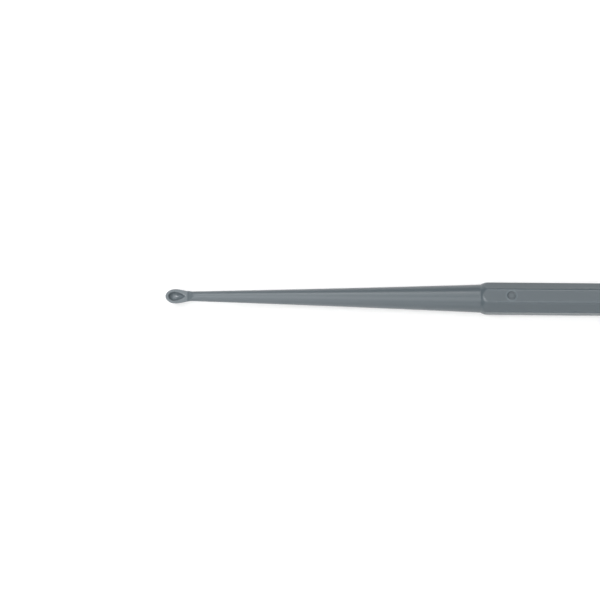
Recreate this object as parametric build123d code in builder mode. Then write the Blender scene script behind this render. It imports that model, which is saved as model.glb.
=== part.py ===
from build123d import *
from math import sqrt
import os

# A slim plastic curette: a small open scoop, a tapered round shaft and an octagonal handle.
# The real tool is a single moulding. It is drawn here as three sections, scoop, shaft and
# handle, each a solid of its own, which meet face to face.
#
# The tool lies along X with the scoop at the -X end, and it rests on the bottom flat of its
# handle, with the scoop open upwards. The origin is on that surface, half way along the tool.

os.makedirs("parts", exist_ok=True)

# Driving dimensions, in millimetres. A "from tip" distance runs back along the tool from the
# front of the scoop, and a "from end" distance runs forward from the very end of the handle.
tool_length = 150.0

handle_flats = 5.0              # across two opposite flats of the octagon
handle_edge_radius = 0.6        # rounding of the eight long edges
dome_radius = 2.68              # both ends of the handle are turned to this sphere
front_dome_from_tip = 51.84

shaft_root_radius = 2.25        # where the shaft meets the front dome
shaft_middle_radius = 1.456
shaft_middle_from_tip = 27.4
neck_radius = 0.782
neck_from_tip = 4.35
nose_length = 1.85
nose_height = 0.8
nose_foot_reach = 0.6
nose_brow_reach = 1.4

scoop_half_width = 1.18
scoop_widest_from_tip = 1.63
rim_end_from_tip = 3.35         # the scoop's flat rim stops here, at the foot of the nose
rim_rounding = 0.12

hollow_half_width = 0.71
hollow_start_from_tip = 0.52
hollow_widest_from_tip = 1.4
hollow_end_from_tip = 3.12
hollow_point_width = 0.2        # pulls the hollow in to a blunt point at its rear end

gate_radius = 0.5               # stub left where the plastic entered the mould
gate_height = 0.15
gate_offset = 0.1

ejector_rear_from_end = 7.6     # shallow round marks left by the mould's ejector pins
ejector_front_from_tip = 55.3
ejector_ring_radius = 0.78
ejector_ring_height = 0.03
ejector_disc_radius = 0.62
ejector_disc_depth = 0.04

# Places that follow from those dimensions.
tip_x = -tool_length / 2
end_x = tool_length / 2
axis_z = handle_flats / 2
rim_end_x = tip_x + rim_end_from_tip
neck_x = tip_x + neck_from_tip
scoop_widest_x = tip_x + scoop_widest_from_tip
hollow_widest_x = tip_x + hollow_widest_from_tip
hollow_end_x = tip_x + hollow_end_from_tip
front_dome_x = tip_x + front_dome_from_tip
root_x = front_dome_x - sqrt(dome_radius**2 - shaft_root_radius**2)
rear_dome_x = end_x - gate_height - dome_radius

middle_plane = Plane.XY.offset(axis_z)
rim_end_plane = Plane.YZ.offset(rim_end_x)
tool_axis = Axis((0, 0, axis_z), (1, 0, 0))
downward_axis = Axis((0, 0, axis_z), (-1, 0, 0))    # half a turn about this sweeps out the underside

# Half of the plan outline that the scoop and the shaft share, on the tool's middle plane.
waist_reach = (neck_x - scoop_widest_x) / 3
with BuildSketch(middle_plane) as front_outline:
    with BuildLine():
        EllipticalCenterArc(
            (scoop_widest_x, 0), scoop_widest_from_tip, scoop_half_width, start_angle=90, arc_size=90
        )
        Bezier(
            (scoop_widest_x, scoop_half_width),
            (scoop_widest_x + waist_reach, scoop_half_width),
            (neck_x - waist_reach, neck_radius),
            (neck_x, neck_radius),
        )
        ThreePointArc(
            (neck_x, neck_radius),
            (tip_x + shaft_middle_from_tip, shaft_middle_radius),
            (root_x, shaft_root_radius),
        )
        Polyline((root_x, shaft_root_radius), (root_x, 0), (tip_x, 0))
    make_face()

# Scoop: solid below its flat rim, with a teardrop hollow that points towards the shaft.
hollow_reach = (hollow_end_x - hollow_widest_x) / 3
with BuildPart() as scoop:
    revolve(front_outline.sketch, axis=downward_axis, revolution_arc=180)
    split(bisect_by=rim_end_plane, keep=Keep.BOTTOM)
    with BuildSketch(middle_plane):
        with BuildLine():
            EllipticalCenterArc(
                (hollow_widest_x, 0),
                hollow_widest_from_tip - hollow_start_from_tip,
                hollow_half_width,
                start_angle=90,
                arc_size=90,
            )
            Bezier(
                (hollow_widest_x, hollow_half_width),
                (hollow_widest_x + hollow_reach, hollow_half_width),
                (hollow_end_x, hollow_point_width),
                (hollow_end_x, 0),
            )
            Line((hollow_end_x, 0), (tip_x + hollow_start_from_tip, 0))
        make_face()
    revolve(axis=downward_axis, revolution_arc=180, mode=Mode.SUBTRACT)
    rim_edges = edges().group_by(Axis.Z)[-1]
    fillet(rim_edges.filter_by(Axis.Y, reverse=True), rim_rounding)
scoop.part.label = "scoop"
export_step(scoop.part, "parts/scoop.step")

# Shaft: a long, slightly concave taper, whose blunt nose rises from the end of the scoop's rim.
# Seen from the side the nose is one S-shaped curve, and the cutter clears all that is above it.
nose_top_x = rim_end_x + nose_length
nose_top_z = axis_z + nose_height
with BuildPart() as shaft:
    revolve(front_outline.sketch, axis=tool_axis)
    split(bisect_by=rim_end_plane, keep=Keep.TOP)
    with BuildSketch(Plane.XZ):
        with BuildLine():
            Bezier(
                (rim_end_x, axis_z),
                (rim_end_x + nose_foot_reach, axis_z),
                (nose_top_x - nose_brow_reach, nose_top_z),
                (nose_top_x, nose_top_z),
            )
            Polyline(
                (rim_end_x, axis_z),
                (tip_x, axis_z),
                (tip_x, axis_z + scoop_half_width),
                (nose_top_x, axis_z + scoop_half_width),
                (nose_top_x, nose_top_z),
            )
        make_face()
    extrude(amount=scoop_half_width, both=True, mode=Mode.SUBTRACT)
shaft.part.label = "shaft"
export_step(shaft.part, "parts/shaft.step")

# Handle: an octagonal bar turned to a dome at each end, with the marks that moulding leaves.
with BuildPart() as handle:
    with BuildSketch(Plane.YZ.offset(root_x)):
        with Locations((0, axis_z)):
            RegularPolygon(handle_flats / 2, side_count=8, major_radius=False, rotation=22.5)
        fillet(vertices(), handle_edge_radius)
    extrude(amount=rear_dome_x + dome_radius - root_x)
    with BuildSketch(middle_plane):
        with BuildLine():
            Polyline((rear_dome_x + dome_radius, 0), (root_x, 0), (root_x, shaft_root_radius))
            RadiusArc((root_x, shaft_root_radius), (front_dome_x, dome_radius), dome_radius)
            Line((front_dome_x, dome_radius), (rear_dome_x, dome_radius))
            CenterArc((rear_dome_x, 0), dome_radius, start_angle=0, arc_size=90)
        make_face()
    revolve(axis=tool_axis, mode=Mode.INTERSECT)
    with BuildSketch(Plane.YZ.offset(rear_dome_x)):
        with Locations((gate_offset, axis_z)):
            Circle(gate_radius)
    extrude(amount=dome_radius + gate_height)
    ejector_places = ((tip_x + ejector_front_from_tip, 0), (end_x - ejector_rear_from_end, 0))
    with BuildSketch(Plane.XY.offset(handle_flats)):
        with Locations(*ejector_places):
            Circle(ejector_ring_radius)
    extrude(amount=ejector_ring_height)
    with BuildSketch(Plane.XY.offset(handle_flats - ejector_disc_depth)):
        with Locations(*ejector_places):
            Circle(ejector_disc_radius)
    extrude(amount=ejector_disc_depth + ejector_ring_height, mode=Mode.SUBTRACT)
handle.part.label = "handle"
export_step(handle.part, "parts/handle.step")
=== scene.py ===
"""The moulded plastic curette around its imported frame: fine meshes, one plastic, soft studio light.

Lengths in the code are millimetres, measured in the frame's axes, and become metres only where
a mesh, lamp or camera is made. The tool lies along X with its scoop at the -X end.
"""

from math import asin, atan2, cos, degrees, hypot, pi, radians, sin, sqrt, tan

import bmesh
import bpy
import numpy as np
from mathutils import Matrix, Vector, noise


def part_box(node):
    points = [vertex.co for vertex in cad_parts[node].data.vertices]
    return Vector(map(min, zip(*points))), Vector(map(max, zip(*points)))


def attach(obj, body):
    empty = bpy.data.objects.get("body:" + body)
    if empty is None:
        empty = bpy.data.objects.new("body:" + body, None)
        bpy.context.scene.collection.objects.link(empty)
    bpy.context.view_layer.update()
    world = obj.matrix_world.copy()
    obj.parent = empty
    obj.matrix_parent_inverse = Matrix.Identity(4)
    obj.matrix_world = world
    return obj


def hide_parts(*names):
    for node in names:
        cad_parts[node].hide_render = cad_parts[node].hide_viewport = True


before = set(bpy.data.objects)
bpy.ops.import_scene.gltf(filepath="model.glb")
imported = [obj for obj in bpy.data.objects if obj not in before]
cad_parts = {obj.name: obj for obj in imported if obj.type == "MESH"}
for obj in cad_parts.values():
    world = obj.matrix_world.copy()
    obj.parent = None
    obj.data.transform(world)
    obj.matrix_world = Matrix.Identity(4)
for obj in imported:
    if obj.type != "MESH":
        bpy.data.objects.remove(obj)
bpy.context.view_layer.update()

MM = 0.001

# ---------------------------------------------------------------- sizes and places

scoop_low = np.array(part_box("scoop")[0]) / MM
shaft_low, shaft_high = (np.array(corner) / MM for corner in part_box("shaft"))
handle_low, handle_high = (np.array(corner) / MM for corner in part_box("handle"))

TIP_X = scoop_low[0]
RIM_END_X = shaft_low[0]          # the scoop's flat rim ends here, at the foot of the shaft's nose
ROOT_X = handle_low[0]            # the shaft runs into the handle's front dome here
END_X = handle_high[0]
FLATS = handle_high[1] - handle_low[1]
AXIS_Z = handle_low[2] + FLATS / 2

EDGE_RADIUS = 0.6                 # long edges of the octagonal handle
DOME_RADIUS = 2.68
DOME_EDGE_RADIUS = 1.0            # where the flats meet the domes
ROOT_RADIUS = shaft_high[1]
CREASE_RADIUS = 0.12              # hollow corner where the shaft meets the front dome
FRONT_DOME_X = ROOT_X + sqrt(DOME_RADIUS**2 - ROOT_RADIUS**2)
GATE_HEIGHT = 0.15
GATE_RADIUS = 0.5
GATE_OFFSET = 0.1
REAR_DOME_X = END_X - GATE_HEIGHT - DOME_RADIUS

EJECTOR_MARKS = (END_X - 7.6, TIP_X + 55.3)
EJECTOR_DISC_RADIUS = 0.62
EJECTOR_RING_RADIUS = 0.72
EJECTOR_RING_WIDTH = 0.16
EJECTOR_RING_HEIGHT = handle_high[2] - FLATS
EJECTOR_HIGHLIGHT_BAND = (0.66, 0.8, 0.9, 1.05)    # radii where the painted highlight on the raised ring starts, is full, fades, ends
EJECTOR_SHADE_BAND = (0.24, 0.42, 0.6, 0.7)      # and the same for the painted shade in the groove inside it
EJECTOR_DEPTH = 0.04

SCOOP_HALF_WIDTH = AXIS_Z - scoop_low[2]
SCOOP_WIDEST = 1.63               # distances back from the tip
NECK = 4.35
NECK_RADIUS = 0.782
SHAFT_MIDDLE = 27.4
SHAFT_MIDDLE_RADIUS = 1.456
RIM_ROUNDING = 0.12
HOLLOW_START = 0.52
HOLLOW_WIDEST = 1.4
HOLLOW_END = 3.12
HOLLOW_HALF_WIDTH = 0.71
HOLLOW_POINT_WIDTH = 0.2
NOSE_LENGTH = 1.85
NOSE_HEIGHT = 0.8
NOSE_FOOT_REACH = 0.6
NOSE_BROW_REACH = 1.4

GLOW_AT_RIM = 0.9             # strength of the painted light at the thin rim, where 0 is the full handle
# lower in the hollow: painted shade there
GLOW_IN_SHADED_HOLLOW = 0.6

PARTING_HEIGHT = 0.02             # fine witness line where the two halves of the mould meet
PARTING_WIDTH = 0.05


# ---------------------------------------------------------------- small mathematics

def smooth_step(value, low, high):
    """0 below low and 1 above high, with a soft rise between them."""
    t = np.clip((value - low) / (high - low), 0, 1)
    return t * t * (3 - 2 * t)


def band(value, edges):
    """1 inside a band and 0 outside it. The edges are where it starts, is full, starts to fade, and ends."""
    start, full, fade, end = edges
    return smooth_step(value, start, full) * (1 - smooth_step(value, fade, end))


def bezier(points, t):
    """Points of a cubic Bezier curve at each t."""
    a, b, c, d = (np.array(p, float) for p in points)
    t = np.atleast_1d(t)[:, None]
    return (1 - t) ** 3 * a + 3 * (1 - t) ** 2 * t * b + 3 * (1 - t) * t**2 * c + t**3 * d


# ---------------------------------------------------------------- outline of scoop and shaft

taper = np.polyfit(
    [NECK, SHAFT_MIDDLE, ROOT_X - TIP_X], [NECK_RADIUS, SHAFT_MIDDLE_RADIUS, ROOT_RADIUS], 2
)


def half_width(back):
    """Half width of the scoop and shaft in plan, at a distance back from the tip."""
    front = SCOOP_HALF_WIDTH * sqrt(max(1 - ((SCOOP_WIDEST - back) / SCOOP_WIDEST) ** 2, 0))
    waist = SCOOP_HALF_WIDTH + (NECK_RADIUS - SCOOP_HALF_WIDTH) * smooth_step(back, SCOOP_WIDEST, NECK)
    if back < SCOOP_WIDEST:
        return front
    return waist if back < NECK else float(np.polyval(taper, back))


# ---------------------------------------------------------------- building meshes

class Shell:
    """Collects grids of points as one closed mesh. Rows of points are in millimetres."""

    def __init__(self):
        self.bm = bmesh.new()

    def vertices(self, row):
        return [self.bm.verts.new(Vector(p) * MM) for p in row]

    def grid(self, rows, closed=False):
        """Quads between neighbouring rows. Closed rows join their last point to their first."""
        made = [self.vertices(row) for row in rows]
        for above, below in zip(made, made[1:]):
            count = len(above)
            for i in range(count if closed else count - 1):
                j = (i + 1) % count
                self.bm.faces.new((above[i], above[j], below[j], below[i]))
        return made

    def cap(self, row):
        """A flat face that closes the mesh where it meets the next section."""
        self.bm.faces.new(self.vertices(row)).tag = True

    def finish(self, name, node, marks):
        """Welds the grids and makes the object that stands for a CAD node."""
        bm = self.bm
        bmesh.ops.remove_doubles(bm, verts=bm.verts, dist=0.0004 * MM)
        bmesh.ops.recalc_face_normals(bm, faces=bm.faces)
        for face in bm.faces:
            face.smooth = not face.tag
        for edge in bm.edges:
            edge.smooth = not any(face.tag for face in edge.link_faces)
        mesh = bpy.data.meshes.new(name)
        bm.to_mesh(mesh)
        bm.free()
        for mark, worth in marks.items():
            values = mesh.attributes.new(mark, "FLOAT", "POINT")
            places = [v.co / MM for v in mesh.vertices]
            values.data.foreach_set("value", [float(worth(p)) for p in places])
        piece = bpy.data.objects.new(name, mesh)
        bpy.context.scene.collection.objects.link(piece)
        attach(piece, "root")
        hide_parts(node)
        return piece


def edge_wear(place):
    """1 on the handle's rounded long edges and 0 in the middle of its flats."""
    side = atan2(place.z - AXIS_Z, place.y)
    from_flat = abs((side + pi / 8) % (pi / 4) - pi / 8)
    on_handle = smooth_step(place.x, ROOT_X, ROOT_X + 1)
    return on_handle * smooth_step(degrees(from_flat), 14, 21)


def hollow_shade_mask(place):
    """1 on the floor of the scoop's hollow, fading to 0 at its rim; it marks where shade is painted into the
    hollow.
    """
    along = (place.x - TIP_X - HOLLOW_WIDEST) / (HOLLOW_END - HOLLOW_WIDEST)
    across = hypot(along, place.y / HOLLOW_HALF_WIDTH)
    deep = smooth_step(AXIS_Z - place.z, 0.02, 0.14)
    return deep * (1 - smooth_step(across, 0.95, 1.1))


def thin_glow_and_hollow_shade(place):
    """Painted light: 0 on the full handle, rising towards the scoop's thin rim as if light came through the
    thin plastic, and held lower in the hollow as painted shade.
    """
    back = place.x - TIP_X
    if place.x > ROOT_X:
        return 0.12 * (1 - smooth_step(place.x, ROOT_X, ROOT_X + 1.5))
    thin_glow = 1 - half_width(max(back, NECK)) / (FLATS / 2)
    thin_glow += (GLOW_AT_RIM - thin_glow) * (1 - smooth_step(back, 2.4, NECK))
    return thin_glow + (GLOW_IN_SHADED_HOLLOW - thin_glow) * hollow_shade_mask(place)


def painted_ejector_light_and_shade(place):
    """Painted highlight and shade about the ejector-pin marks: 1 on the ring, -1 in the groove inside it."""
    if place.z < AXIS_Z + FLATS / 2 - 2 * EJECTOR_DEPTH:
        return 0.0
    ring_light_and_shade = 0.0
    for mark_x in EJECTOR_MARKS:
        away = hypot(place.x - mark_x, place.y)
        ring_light_and_shade += band(away, EJECTOR_HIGHLIGHT_BAND) - band(away, EJECTOR_SHADE_BAND)
    return ring_light_and_shade


MARKS = {"edge_wear": edge_wear, "thin_glow_and_hollow_shade": thin_glow_and_hollow_shade, "painted_ejector_light_and_shade": painted_ejector_light_and_shade}


# ---------------------------------------------------------------- handle

def octagon():
    """Points round the handle's section as (y, z) about the axis, finest on the top flat."""
    apothem = FLATS / 2
    flat_half = (apothem - EDGE_RADIUS) * np.tan(pi / 8)
    corner_distance = (apothem - EDGE_RADIUS) / cos(pi / 8)
    ring = []
    for side in range(8):
        facing = pi / 2 + side * pi / 4
        out = np.array((cos(facing), sin(facing)))
        along = np.array((-out[1], out[0]))
        if side == 0:
            steps = np.linspace(-1, 1, 53) * flat_half
        elif side in (2, 6):    # the vertical flats carry the parting line
            line = np.array((-1.6, -1, -0.66, -0.33, 0, 0.33, 0.66, 1, 1.6)) * PARTING_WIDTH
            steps = np.concatenate(([-flat_half, -flat_half / 2], line, [flat_half / 2, flat_half]))
        else:
            steps = np.linspace(-1, 1, 5) * flat_half
        ring += [out * apothem + along * s for s in steps]
        corner = facing + pi / 8
        centre = np.array((cos(corner), sin(corner))) * corner_distance
        turns = 12 if side in (0, 7) else 8
        for angle in facing + np.linspace(0, pi / 4, turns + 1)[1:-1]:
            ring.append(centre + np.array((cos(angle), sin(angle))) * EDGE_RADIUS)
    return np.array(ring)


def dome_column(radius, sphere_angles):
    """One meridian of a dome as (x, r) from its centre: straight, rounded edge, then sphere."""
    rounded = DOME_EDGE_RADIUS
    start = sqrt((DOME_RADIUS - rounded) ** 2 - (radius - rounded) ** 2)
    lean = atan2(radius - rounded, start)
    column = [(0.0, radius), (start / 2, radius)]
    for angle in np.linspace(pi / 2, lean, 8):
        column.append((start + rounded * cos(angle), radius - rounded + rounded * sin(angle)))
    for share, common in sphere_angles:
        angle = lean + (common - lean) * share
        column.append((DOME_RADIUS * cos(angle), DOME_RADIUS * sin(angle)))
    return column


def ring_of(xs, radii, directions):
    """One row of points round the handle's axis."""
    return [(x, r * y, AXIS_Z + r * z) for x, r, (y, z) in zip(xs, radii, directions)]


def crease_arc():
    """(x, r) points of the hollow corner between the shaft's taper and the front dome."""
    slope = np.polyval(np.polyder(taper), ROOT_X - TIP_X)
    along = np.array((1, slope)) / hypot(1, slope)
    normal = np.array((-along[1], along[0]))
    dome = np.array((FRONT_DOME_X, 0.0))
    origin = np.array((ROOT_X, ROOT_RADIUS)) + normal * CREASE_RADIUS - dome
    reach = DOME_RADIUS + CREASE_RADIUS
    half_b = origin @ along
    step = -half_b - sqrt(half_b**2 - origin @ origin + reach**2)
    centre = dome + origin + along * step
    first = atan2(*(-normal)[::-1])
    last = atan2(*(dome - centre)[::-1])
    return [centre + CREASE_RADIUS * np.array((cos(a), sin(a))) for a in np.linspace(first, last, 7)]


def ejector_relief(x, y):
    """Height of the moulding's surface about the ejector-pin marks on the top flat."""
    relief = 0.0
    for mark_x in EJECTOR_MARKS:
        away = hypot(x - mark_x, y)
        ridge = 1 - smooth_step(abs(away - EJECTOR_RING_RADIUS), 0, EJECTOR_RING_WIDTH / 2)
        relief += EJECTOR_RING_HEIGHT * ridge
        disc = 1 - smooth_step(away, EJECTOR_DISC_RADIUS - 0.06, EJECTOR_DISC_RADIUS + 0.02)
        relief -= EJECTOR_DEPTH * disc
    return relief


def bar_stations():
    """Where the straight bar has rows of points: close together only at the ejector marks."""
    stations = [FRONT_DOME_X, REAR_DOME_X]
    for mark_x in EJECTOR_MARKS:
        stations += list(np.arange(mark_x - 1.08, mark_x + 1.0801, 0.03))
    stations += list(np.linspace(min(EJECTOR_MARKS) + 2, max(EJECTOR_MARKS) - 2, 14))
    return sorted(stations)


def build_handle():
    """The octagonal bar with its domes, row by row from the seam with the shaft to the gate stub."""
    ring = octagon()
    radii = np.hypot(ring[:, 0], ring[:, 1])
    directions = ring / radii[:, None]
    crease = crease_arc()
    root_angle = asin(crease[-1][1] / DOME_RADIUS)
    rows = [ring_of([x] * len(ring), [r] * len(ring), directions) for x, r in crease[:-1]]

    front = [dome_column(r, [(t, root_angle) for t in np.linspace(0.25, 1, 4)]) for r in radii]
    for step in reversed(range(len(front[0]))):
        xs = [FRONT_DOME_X - column[step][0] for column in front]
        rows.append(ring_of(xs, [column[step][1] for column in front], directions))

    for x in bar_stations()[1:-1]:
        row = []
        for y, z in ring:
            lift = ejector_relief(x, y) if z > 0 and abs(y) < EDGE_RADIUS + 0.5 else 0.0
            row.append((x, y, AXIS_Z + z + lift))
        rows.append(row)

    gate_angle = asin(0.75 / DOME_RADIUS)
    rear = [dome_column(r, [(t, gate_angle) for t in np.linspace(0.08, 1, 14)]) for r in radii]
    for step in range(len(rear[0])):
        xs = [REAR_DOME_X + column[step][0] for column in rear]
        rows.append(ring_of(xs, [column[step][1] for column in rear], directions))
    for spread in (0.68, 0.61, 0.56, 0.53, 0.515, 0.5, 0.485, 0.47, 0.44, 0.38, 0.3, 0.22, 0.14, 0.07, 0):
        rows.append([gate_point(spread, y, z) for y, z in directions])

    for row_number, row in enumerate(rows):
        rows[row_number] = [raise_parting_line(p) for p in shift_to_gate(row)]
    shell = Shell()
    shell.grid(rows, closed=True)
    shell.cap(rows[0])
    return shell.finish("handle_moulding", "handle", MARKS)


def gate_point(spread, y, z):
    """A point of the rear dome near its middle, where the gate stub was sheared off."""
    dome_x = REAR_DOME_X + sqrt(DOME_RADIUS**2 - spread**2)
    on_stub = 1 - smooth_step(spread, GATE_RADIUS - 0.04, GATE_RADIUS + 0.02)
    tear = noise.noise(Vector((spread * y, spread * z, 0.3)) * 6)
    stub_x = END_X - 0.03 - 0.03 * tear
    x = dome_x + (stub_x - dome_x) * on_stub
    return (x, spread * y, AXIS_Z + spread * z)


def shift_to_gate(row):
    """Slides the rows of the rear dome sideways, so that they run round the stub's centre."""
    moved = []
    for x, y, z in row:
        spread = hypot(y, z - AXIS_Z)
        share = smooth_step(x, REAR_DOME_X, REAR_DOME_X + DOME_RADIUS) * (1 - smooth_step(spread, 0.7, 2.2))
        moved.append((x, y + GATE_OFFSET * share, z))
    return moved


def raise_parting_line(point):
    """Sinks the sides of the handle a little, all but a fine ridge along their middle."""
    x, y, z = point
    ridge = 1 - smooth_step(abs(z - AXIS_Z), 0, PARTING_WIDTH)
    sunk = PARTING_HEIGHT * (1 - ridge) * smooth_step(abs(y), 0.9, 1.6)
    return (x, y - np.sign(y) * sunk, z)


# ---------------------------------------------------------------- shaft

def cut_section(radius, height, count):
    """A round section cut off level at a height above the axis, with rounded corners, as (y, z)."""
    height = min(height, radius)
    flat_half = sqrt(max((radius - RIM_ROUNDING) ** 2 - (height - RIM_ROUNDING) ** 2, 0))
    lean = atan2(height - RIM_ROUNDING, flat_half)
    side = [(radius * cos(a), radius * sin(a)) for a in np.linspace(-pi / 2, lean, 240)]
    for a in np.linspace(lean, pi / 2, 60)[1:]:
        side.append((flat_half + RIM_ROUNDING * cos(a), height - RIM_ROUNDING + RIM_ROUNDING * sin(a)))
    side += [(flat_half * (1 - t), height) for t in np.linspace(0, 1, 60)[1:]]
    side = np.array(side)
    run = np.concatenate(([0], np.cumsum(np.hypot(*np.diff(side, axis=0).T))))
    even = np.linspace(0, run[-1], count // 2 + 1)
    right = np.column_stack((np.interp(even, run, side[:, 0]), np.interp(even, run, side[:, 1])))
    left = right[-2:0:-1] * (-1, 1)
    return np.concatenate((right, left))


def build_shaft():
    """The nose and the round taper, row by row from the scoop's rim to the seam with the handle."""
    nose = [
        (RIM_END_X - TIP_X, 0),
        (RIM_END_X - TIP_X + NOSE_FOOT_REACH, 0),
        (RIM_END_X - TIP_X + NOSE_LENGTH - NOSE_BROW_REACH, NOSE_HEIGHT),
        (RIM_END_X - TIP_X + NOSE_LENGTH, NOSE_HEIGHT),
    ]
    stations = [tuple(p) for p in bezier(nose, np.linspace(0, 1, 40))]
    seam_x = crease_arc()[0][0]
    first = stations[-1][0]
    stations += [(back, ROOT_RADIUS) for back in np.linspace(first, seam_x - TIP_X, 60)[1:]]
    rows = []
    for back, height in stations:
        section = cut_section(half_width(back), height, 160)
        rows.append([(TIP_X + back, y, AXIS_Z + z) for y, z in section])
    shell = Shell()
    shell.grid(rows, closed=True)
    shell.cap(rows[0])
    shell.cap(rows[-1])
    return shell.finish("shaft_moulding", "shaft", MARKS)


# ---------------------------------------------------------------- scoop

def both_sides(half):
    """A run of (back, side) points from the rear to the tip, carried on round the other side."""
    half = np.array(half)
    return np.concatenate((half, half[-2::-1] * (1, -1)))


def plan_normals(loop, closed):
    """Unit normals that point out of a plan loop, which runs from the rear, by +Y, to the tip."""
    padded = np.concatenate((loop[-2:-1], loop, loop[1:2]))
    run = padded[2:] - padded[:-2]
    if not closed:    # an open loop starts and ends square to the seam
        run[0], run[-1] = (-1, 0), (1, 0)
    out = np.column_stack((run[:, 1], -run[:, 0]))
    return out / np.hypot(out[:, 0], out[:, 1])[:, None]


def bowl_rows(loop, depth, count):
    """Round sections from one side of a plan loop to the other, which lies at a depth below the axis."""
    rows = []
    half = len(loop) // 2 + 1
    for back, side in loop[:half]:
        radius = hypot(side, depth)
        start = atan2(depth, side)
        angles = np.linspace(start, pi - start, count)
        rows.append([(TIP_X + back, radius * cos(a), AXIS_Z - radius * sin(a)) for a in angles])
    return rows


def lay(loop, height):
    """A plan loop placed at a height above the tool's axis."""
    return [(TIP_X + back, side, AXIS_Z + height) for back, side in loop]


def scoop_loops():
    """Plan loops of the scoop's outer edge: at the rim, and one rounding below it."""
    rear = np.linspace(RIM_END_X - TIP_X, SCOOP_WIDEST, 40)
    turn = np.linspace(pi / 2, 0, 60)[1:]
    shrink = sqrt(1 - (RIM_ROUNDING / SCOOP_HALF_WIDTH) ** 2)
    rim = [(b, half_width(b)) for b in rear]
    rim += [(SCOOP_WIDEST * (1 - cos(t)), SCOOP_HALF_WIDTH * sin(t)) for t in turn]
    below = [(b, sqrt(half_width(b) ** 2 - RIM_ROUNDING**2)) for b in rear]
    below += [(SCOOP_WIDEST * (1 - shrink * cos(t)), SCOOP_HALF_WIDTH * shrink * sin(t)) for t in turn]
    return both_sides(rim), both_sides(below)


HOLLOW_REACH = (HOLLOW_END - HOLLOW_WIDEST) / 3
HOLLOW_REAR = (
    (HOLLOW_WIDEST, HOLLOW_HALF_WIDTH),
    (HOLLOW_WIDEST + HOLLOW_REACH, HOLLOW_HALF_WIDTH),
    (HOLLOW_END, HOLLOW_POINT_WIDTH),
    (HOLLOW_END, 0),
)
HOLLOW_CURVE = bezier(HOLLOW_REAR, np.linspace(0, 1, 400))


def hollow_loops():
    """Plan loops of the hollow's edge: at the rim, and one rounding below it."""
    length = HOLLOW_WIDEST - HOLLOW_START
    turn = np.linspace(pi / 2, 0, 60)[1:]
    shrink = sqrt(1 - (RIM_ROUNDING / HOLLOW_HALF_WIDTH) ** 2)
    rim = [tuple(p) for p in bezier(HOLLOW_REAR, np.linspace(1, 0, 40))]
    rim += [(HOLLOW_WIDEST - length * cos(t), HOLLOW_HALF_WIDTH * sin(t)) for t in turn]
    deep = HOLLOW_CURVE[HOLLOW_CURVE[:, 1] > RIM_ROUNDING]
    level = np.column_stack((deep[:, 0], np.sqrt(deep[:, 1] ** 2 - RIM_ROUNDING**2)))
    last_back = float(np.interp(-RIM_ROUNDING, -HOLLOW_CURVE[:, 1], HOLLOW_CURVE[:, 0]))
    level = np.concatenate((level, [(last_back, 0)]))
    run = np.concatenate(([0], np.cumsum(np.hypot(*np.diff(level, axis=0).T))))
    even = np.linspace(run[-1], 0, 40)
    below = list(zip(np.interp(even, run, level[:, 0]), np.interp(even, run, level[:, 1])))
    below += [(HOLLOW_WIDEST - length * shrink * cos(t), HOLLOW_HALF_WIDTH * shrink * sin(t)) for t in turn]
    return both_sides(rim), both_sides(below)


def build_scoop():
    """The scoop: underside, outer edge, flat rim, inner edge, hollow, and the seam with the shaft."""
    rim, below = scoop_loops()
    inner_rim, inner_below = hollow_loops()
    top = rim - plan_normals(rim, closed=False) * RIM_ROUNDING
    lip = inner_rim + plan_normals(inner_rim, closed=True) * RIM_ROUNDING
    quarter = np.linspace(0, pi / 2, 9)

    shell = Shell()
    underside = bowl_rows(below, RIM_ROUNDING, 90)
    shell.grid(underside)
    edge = [lay(top + (below - top) * cos(a), RIM_ROUNDING * (sin(a) - 1)) for a in quarter]
    shell.grid(edge)
    flat = [lay(top + (lip - top) * t, 0) for t in np.linspace(0, 1, 5)]
    shell.grid(flat)
    shell.grid([(row[0], row[-1]) for row in flat])    # the part of the rim behind the hollow's point
    shell.grid([lay(lip + (inner_below - lip) * sin(a), RIM_ROUNDING * (cos(a) - 1)) for a in quarter])
    shell.grid(bowl_rows(inner_below, RIM_ROUNDING, 60))
    left = [row[-1] for row in edge[1:]]
    right = [row[0] for row in reversed(edge[1:])]
    shell.cap(underside[0] + left + right)
    return shell.finish("scoop_moulding", "scoop", MARKS)


# ---------------------------------------------------------------- materials

class Nodes:
    """Adds nodes to a tree: inputs are given by name, as values or as other nodes' outputs."""

    def __init__(self, tree):
        self.tree = tree
        tree.nodes.clear()

    def add(self, kind, inputs=(), **settings):
        node = self.tree.nodes.new("ShaderNode" + kind)
        for name, value in settings.items():
            setattr(node, name, value)
        for name, value in dict(inputs).items():
            if isinstance(value, bpy.types.NodeSocket):
                self.tree.links.new(value, node.inputs[name])
            else:
                node.inputs[name].default_value = value
        return node

    def noise(self, place, scale, detail=2.0, stretch=(1, 1, 1)):
        stretched = self.add("Mapping", {"Vector": place, "Scale": stretch}).outputs[0]
        inputs = {"Vector": stretched, "Scale": scale, "Detail": detail}
        return self.add("TexNoise", inputs).outputs[0]

    def sum_of(self, start, *terms):
        """start plus each (value, factor) term."""
        total = start
        for value, factor in terms:
            inputs = {0: value, 1: factor, 2: total}
            total = self.add("Math", inputs, operation="MULTIPLY_ADD").outputs[0]
        return total


PLASTIC_COLOUR = (0.085, 0.107, 0.121)
PAINTED_THIN_GLOW_COLOUR = (0.069, 0.074, 0.077)    # painted light, added where the plastic is thin


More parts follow.
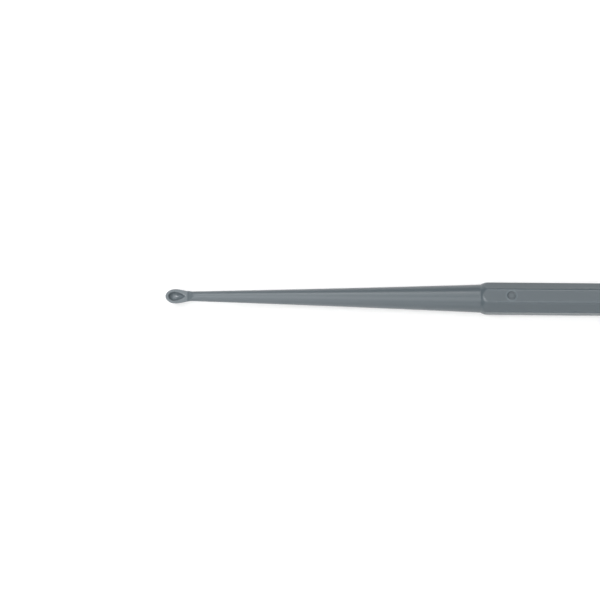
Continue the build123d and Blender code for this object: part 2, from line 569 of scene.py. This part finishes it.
def moulded_plastic():
    """Satin grey plastic: faint flow streaks and pigment, fine grain, and a little handling wear, with
    painted light where the walls are thin, painted shade in the hollow, and a painted highlight and shade at
    the ejector marks.
    """
    material = bpy.data.materials.new("satin_grey_plastic")
    material.use_nodes = True
    nodes = Nodes(material.node_tree)
    place = nodes.add("TexCoord").outputs["Object"]
    flow = nodes.noise(place, 1.0, stretch=(35, 1300, 1300))
    clouds = nodes.noise(place, 110.0, detail=1.0)
    pigment = nodes.noise(place, 7000.0)
    wear_patches = nodes.noise(place, 420.0, detail=4.0)
    worn = nodes.add("Attribute", attribute_name="edge_wear").outputs["Fac"]
    # painted light through the thin plastic, and painted shade in the hollow
    thin_glow = nodes.add("Attribute", attribute_name="thin_glow_and_hollow_shade").outputs["Fac"]
    # painted highlight on the ejector rings and painted shade in their grooves
    ring_light_and_shade = nodes.add("Attribute", attribute_name="painted_ejector_light_and_shade").outputs["Fac"]
    wear = nodes.add("Math", {0: worn, 1: wear_patches}, operation="MULTIPLY").outputs[0]

    texture = nodes.sum_of(0.86, (flow, 0.06), (clouds, 0.05), (pigment, 0.03))
    # wear lightens the rubbed edges; the ejector term lightens the rings and darkens their grooves as
    # painted highlight and shade
    tone = nodes.sum_of(texture, (wear, 0.10), (ring_light_and_shade, 0.24))
    solid = nodes.add("VectorMath", {0: PLASTIC_COLOUR, "Scale": tone}, operation="SCALE").outputs[0]
    # adds the painted light of the thin walls to the colour
    thin = {0: thin_glow, 1: PAINTED_THIN_GLOW_COLOUR, 2: solid}
    colour = nodes.add("VectorMath", thin, operation="MULTIPLY_ADD").outputs[0]
    roughness = nodes.sum_of(0.22, (clouds, 0.08), (wear_patches, 0.10), (wear, -0.10))
    grain = nodes.add("Bump", {"Height": pigment, "Strength": 0.35, "Distance": 0.000006}).outputs[0]
    ripple = nodes.add("Bump", {"Height": clouds, "Strength": 0.3, "Distance": 0.00002, "Normal": grain})
    inputs = {
        "Base Color": colour,
        "Roughness": roughness,
        "Normal": ripple.outputs[0],
        "IOR": 1.49,
    }
    shader = nodes.add("BsdfPrincipled", inputs)
    nodes.add("OutputMaterial", {"Surface": shader.outputs[0]})
    return material


def glowing_floor_sheet():
    """Matte white sheet for the floor with a painted glow: it emits light, weakly under the tool and more
    further out, which washes out the tool's shadow and keeps the far floor white.
    """
    material = bpy.data.materials.new("glowing_floor_sheet")
    material.use_nodes = True
    nodes = Nodes(material.node_tree)
    place = nodes.add("TexCoord").outputs["Object"]
    fibres = nodes.noise(place, 900.0, detail=4.0)
    tone = nodes.sum_of(0.985, (fibres, 0.03))
    colour = nodes.add("VectorMath", {0: (0.68, 0.68, 0.68), "Scale": tone}, operation="SCALE").outputs[0]
    relief = nodes.add("Bump", {"Height": fibres, "Strength": 0.1, "Distance": 0.00002}).outputs[0]
    # painted glow: emission that rises with distance from the tool
    away = nodes.add("VectorMath", {0: place}, operation="LENGTH").outputs["Value"]
    ramp = {"Value": away, "From Min": 0.25, "From Max": 1.5, "To Min": 0.36, "To Max": 0.95}
    glow = nodes.add("MapRange", ramp, interpolation_type="SMOOTHSTEP").outputs[0]
    inputs = {
        "Base Color": colour,
        "Roughness": 0.9,
        "Normal": relief,
        "Emission Color": (1, 1, 1, 1),
        "Emission Strength": glow,
    }
    shader = nodes.add("BsdfPrincipled", inputs)
    nodes.add("OutputMaterial", {"Surface": shader.outputs[0]})
    return material


# ---------------------------------------------------------------- studio

def white_surround():
    """A white horizon all round that dims overhead, where the lamps do the lighting."""
    world = bpy.data.worlds.new("surround")
    bpy.context.scene.world = world
    world.use_nodes = True
    nodes = Nodes(world.node_tree)
    direction = nodes.add("TexCoord").outputs["Generated"]
    height = nodes.add("SeparateXYZ", {0: direction}).outputs["Z"]
    ramp = {"Value": height, "From Min": 0.025, "From Max": 0.055, "To Min": 1.0, "To Max": 0.03}
    strength = nodes.add("MapRange", ramp, interpolation_type="SMOOTHSTEP").outputs[0]
    light = nodes.add("Background", {"Color": (1, 1, 1, 1), "Strength": strength})
    nodes.add("OutputWorld", {"Surface": light.outputs[0]})


LAMP_DISTANCE = 1.6    # metres from the tool


def softbox(name, target, lean, spread, radiance):
    """A rectangular lamp that faces the target.

    The lean is in degrees from straight overhead, towards +X and towards +Y. The spread is the angle,
    also (along X, across) in degrees, that the lamp fills as the target sees it.
    """
    lamp = bpy.data.lights.new(name, "AREA")
    lamp.shape = "RECTANGLE"
    lamp.size, lamp.size_y = (2 * LAMP_DISTANCE * tan(radians(angle / 2)) for angle in spread)
    lamp.energy = radiance * pi * lamp.size * lamp.size_y
    towards = Vector((tan(radians(lean[0])), tan(radians(lean[1])), 1)).normalized()
    across = towards.cross(Vector((1, 0, 0))).normalized()
    along = across.cross(towards)
    turn = Matrix((along, across, towards)).transposed().to_4x4()
    holder = bpy.data.objects.new(name, lamp)
    holder.matrix_world = Matrix.Translation(target + towards * LAMP_DISTANCE) @ turn
    bpy.context.scene.collection.objects.link(holder)


def studio_floor():
    """A wide level sheet just under the tool."""
    half = 4.0
    drop = -0.01 * MM    # just clear of the flat that the tool rests on
    mesh = bpy.data.meshes.new("floor")
    corners = [(-half, -half, drop), (half, -half, drop), (half, half, drop), (-half, half, drop)]
    mesh.from_pydata(corners, [], [(0, 1, 2, 3)])
    floor = bpy.data.objects.new("floor", mesh)
    bpy.context.scene.collection.objects.link(floor)
    floor.data.materials.append(glowing_floor_sheet())


VIEW_WIDTH = 96.0        # millimetres of the tool across the picture
VIEW_CENTRE_BACK = 21.55    # from the tip to the middle of the picture
VIEW_CENTRE_SIDE = -0.47
CAMERA_ELEVATION = 77.5
CAMERA_ROLL = 0.46
CAMERA_DISTANCE = 700.0


def camera_view():
    """Looks steeply down on the scoop end from the -Y side."""
    data = bpy.data.cameras.new("camera")
    data.sensor_width = 36.0
    data.lens = data.sensor_width * CAMERA_DISTANCE / VIEW_WIDTH
    data.clip_start, data.clip_end = 0.01, 20.0
    camera = bpy.data.objects.new("camera", data)
    bpy.context.scene.collection.objects.link(camera)
    centre = Vector((TIP_X + VIEW_CENTRE_BACK, VIEW_CENTRE_SIDE, AXIS_Z))
    lift = radians(CAMERA_ELEVATION)
    back = Vector((0, -cos(lift), sin(lift)))
    camera.location = (centre + back * CAMERA_DISTANCE) * MM
    upright = (-back).to_track_quat("-Z", "Y").to_matrix()
    roll = Matrix.Rotation(radians(CAMERA_ROLL), 3, "Z")
    camera.rotation_euler = (upright @ roll).to_euler()
    bpy.context.scene.camera = camera


# ---------------------------------------------------------------- the scene

camera_view()
white_surround()
studio_floor()
lit_place = Vector((TIP_X + VIEW_CENTRE_BACK, 0, AXIS_Z)) * MM
softbox("near_overhead", lit_place, lean=(0, -20), spread=(40, 44), radiance=2.35)
softbox("far_overhead", lit_place, lean=(0, 23), spread=(40, 28), radiance=2.4)
softbox("near_side", lit_place, lean=(0, -66), spread=(40, 34), radiance=1.75)
softbox("far_strip", lit_place, lean=(0, 42), spread=(40, 10), radiance=6.0)
softbox("left", lit_place, lean=(-27, -10), spread=(6, 26), radiance=33)

plastic = moulded_plastic()
for piece in (build_scoop(), build_shaft(), build_handle()):
    piece.data.materials.append(plastic)

bpy.context.scene.view_settings.view_transform = "Standard"
bpy.context.scene.view_settings.look = "None"
